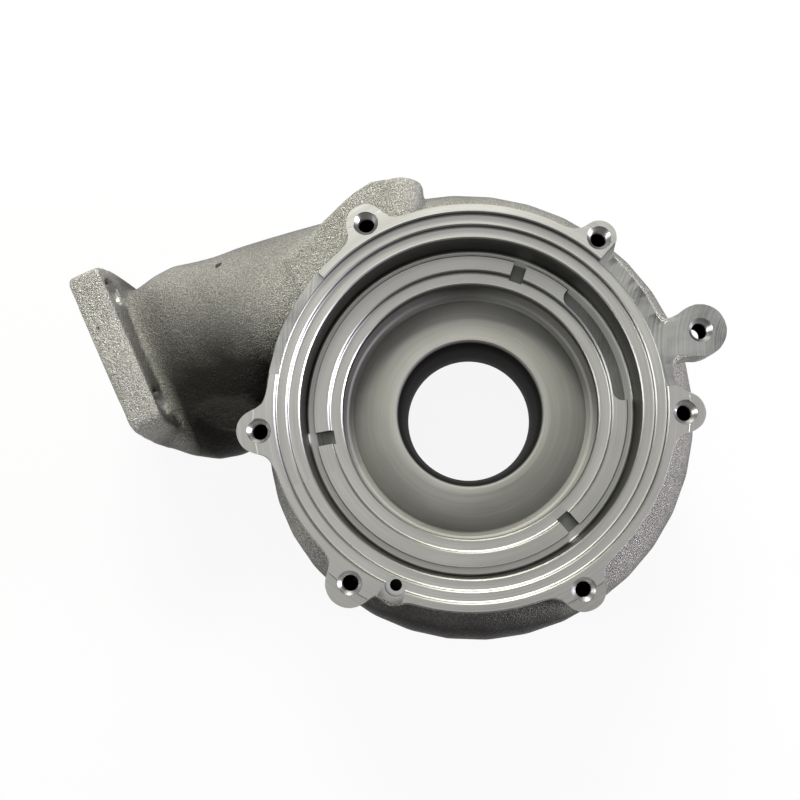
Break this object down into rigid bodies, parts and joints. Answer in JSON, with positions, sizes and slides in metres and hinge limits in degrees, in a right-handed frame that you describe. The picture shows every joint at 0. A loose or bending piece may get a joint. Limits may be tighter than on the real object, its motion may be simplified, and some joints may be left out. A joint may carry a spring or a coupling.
{
  "type": "turbocharger turbine housing",
  "caption": "Cast iron turbine housing: a scroll round a turned pocket and bore, with a rectangular inlet flange and threaded bosses round its machined face.",
  "frame": {"origin": "turbine axis at the outlet face, the plane that the housing stands on", "axes": "+Z along the turbine axis from the outlet face to the machined face; -X along the inlet flange's outward normal; +Y from the turbine axis towards the inlet duct"},
  "size_m": [0.2482, 0.2312, 0.09],
  "materials": {
    "cast_iron": "shot-blasted casting with bright turned and milled faces"
  },
  "bodies": {
    "root": {"turbine_housing": "cast_iron"}
  },
  "joints": []
}
